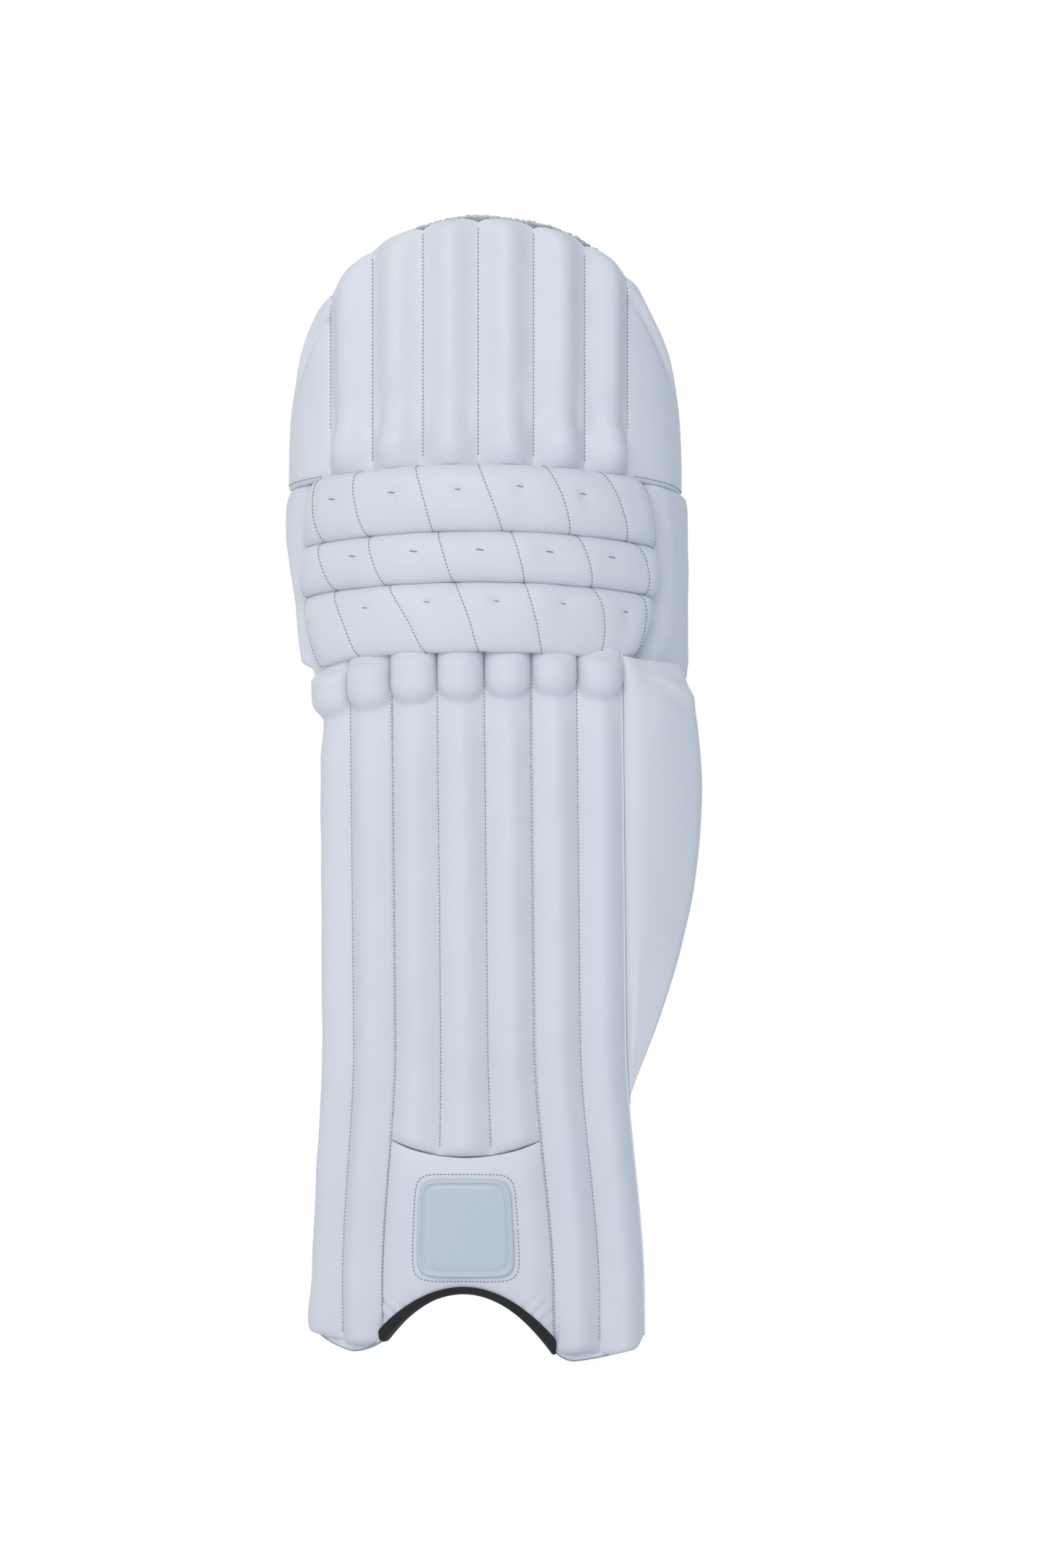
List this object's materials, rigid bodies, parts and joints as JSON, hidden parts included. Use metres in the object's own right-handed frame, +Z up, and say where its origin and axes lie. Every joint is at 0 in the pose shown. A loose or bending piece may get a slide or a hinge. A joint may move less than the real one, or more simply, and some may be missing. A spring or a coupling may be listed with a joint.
{
  "type": "cricket leg pad",
  "caption": "Left cricket leg pad with a ribbed shin, tufted knee rolls, a domed top section, a calf wing and webbing straps for the leg.",
  "frame": {"origin": "axis of the wearer's leg, level with the lowest point of the toes", "axes": "+Z up along the leg, -Y out of the pad's face, +X to the outer side of the left leg"},
  "size_m": [0.2628, 0.1739, 0.7105],
  "materials": {
    "white_leather": "coated, semi-matt",
    "fibre_wadding": "loose fibre",
    "foam_board": "closed-cell foam",
    "cane": "split cane",
    "lining_fabric": "woven, matt",
    "towelling": "looped pile",
    "patch_rubber": "soft, satin",
    "black_binding": "woven tape",
    "edge_tape": "woven tape",
    "webbing": "woven webbing",
    "loop_tape": "looped",
    "hook_tape": "fine hooks",
    "ring_steel": "plated wire"
  },
  "bodies": {
    "shin": {"shin_face_inner": "white_leather", "shin_face_front": "white_leather", "shin_face_outer": "white_leather", "shin_wadding": "fibre_wadding", "bulb_stuffing": "fibre_wadding", "shin_canes": "cane", "shin_backing": "foam_board", "shin_lining": "lining_fabric", "shin_bolster_inner": "lining_fabric", "shin_bolster_outer": "lining_fabric", "label_panel": "white_leather", "label_patch": "patch_rubber", "instep_binding": "black_binding", "toe_piping": "edge_tape", "ankle_strap": "webbing", "calf_strap": "webbing", "knee_strap": "webbing", "strap_rings": "ring_steel", "ring_keepers": "webbing", "loop_patches": "loop_tape"},
    "ankle_hook_tab": {"ankle_tab": "webbing", "ankle_hook": "hook_tape"},
    "calf_hook_tab": {"calf_tab": "webbing", "calf_hook": "hook_tape"},
    "knee_hook_tab": {"knee_tab": "webbing", "knee_hook": "hook_tape"},
    "calf_wing": {"wing_face": "white_leather", "wing_foam": "foam_board", "wing_lining": "lining_fabric"},
    "lower_roll": {"lower_roll_cover": "white_leather", "lower_roll_core": "fibre_wadding", "lower_knee_lining": "lining_fabric", "lower_wing_inner": "white_leather", "lower_wing_outer": "white_leather", "lower_knee_bolster": "lining_fabric"},
    "middle_roll": {"middle_roll_cover": "white_leather", "middle_roll_core": "fibre_wadding", "middle_knee_lining": "lining_fabric", "middle_wing_inner": "white_leather", "middle_wing_outer": "white_leather"},
    "upper_roll": {"upper_roll_cover": "white_leather", "upper_roll_core": "fibre_wadding", "upper_knee_lining": "lining_fabric", "upper_wing_inner": "white_leather", "upper_wing_outer": "white_leather", "upper_knee_bolster": "lining_fabric"},
    "top_section": {"top_face": "white_leather", "top_wadding": "fibre_wadding", "top_canes": "cane", "top_backing": "foam_board", "top_lining": "towelling"}
  },
  "joints": [
    {"name": "knee_flex_1", "type": "hinge", "parent": "shin", "child": "lower_roll", "pos_m": [0, -0.038, 0.43547], "axis": [-1, 0, 0], "range_deg": [0, 6], "stiffness_Nm_per_rad": 3},
    {"name": "knee_flex_2", "type": "hinge", "parent": "lower_roll", "child": "middle_roll", "pos_m": [0, -0.038, 0.47547], "axis": [-1, 0, 0], "range_deg": [0, 6], "stiffness_Nm_per_rad": 3},
    {"name": "knee_flex_3", "type": "hinge", "parent": "middle_roll", "child": "upper_roll", "pos_m": [0, -0.038, 0.50647], "axis": [-1, 0, 0], "range_deg": [0, 6], "stiffness_Nm_per_rad": 3},
    {"name": "knee_flex_4", "type": "hinge", "parent": "upper_roll", "child": "top_section", "pos_m": [0, -0.038, 0.54747], "axis": [-1, 0, 0], "range_deg": [0, 6], "stiffness_Nm_per_rad": 3},
    {"name": "calf_wing_fold", "type": "hinge", "parent": "shin", "child": "calf_wing", "pos_m": [0.09561, -0.06572, 0.295], "axis": [-0.016, -0.0019, 0.9999], "range_deg": [-25, 15], "stiffness_Nm_per_rad": 0.6},
    {"name": "ankle_tab_peel", "type": "hinge", "parent": "shin", "child": "ankle_hook_tab", "pos_m": [0.08156, -0.00863, 0.116], "axis": [0, 0, -1], "range_deg": [0, 60]},
    {"name": "calf_tab_peel", "type": "hinge", "parent": "shin", "child": "calf_hook_tab", "pos_m": [0.08156, -0.00863, 0.24], "axis": [0, 0, -1], "range_deg": [0, 60]},
    {"name": "knee_tab_peel", "type": "hinge", "parent": "shin", "child": "knee_hook_tab", "pos_m": [0.08156, -0.00863, 0.35], "axis": [0, 0, -1], "range_deg": [0, 60]}
  ],
  "couplings": [
    {"joint": "knee_flex_2", "follows": "knee_flex_1", "ratio": 1},
    {"joint": "knee_flex_3", "follows": "knee_flex_1", "ratio": 1},
    {"joint": "knee_flex_4", "follows": "knee_flex_1", "ratio": 1}
  ]
}
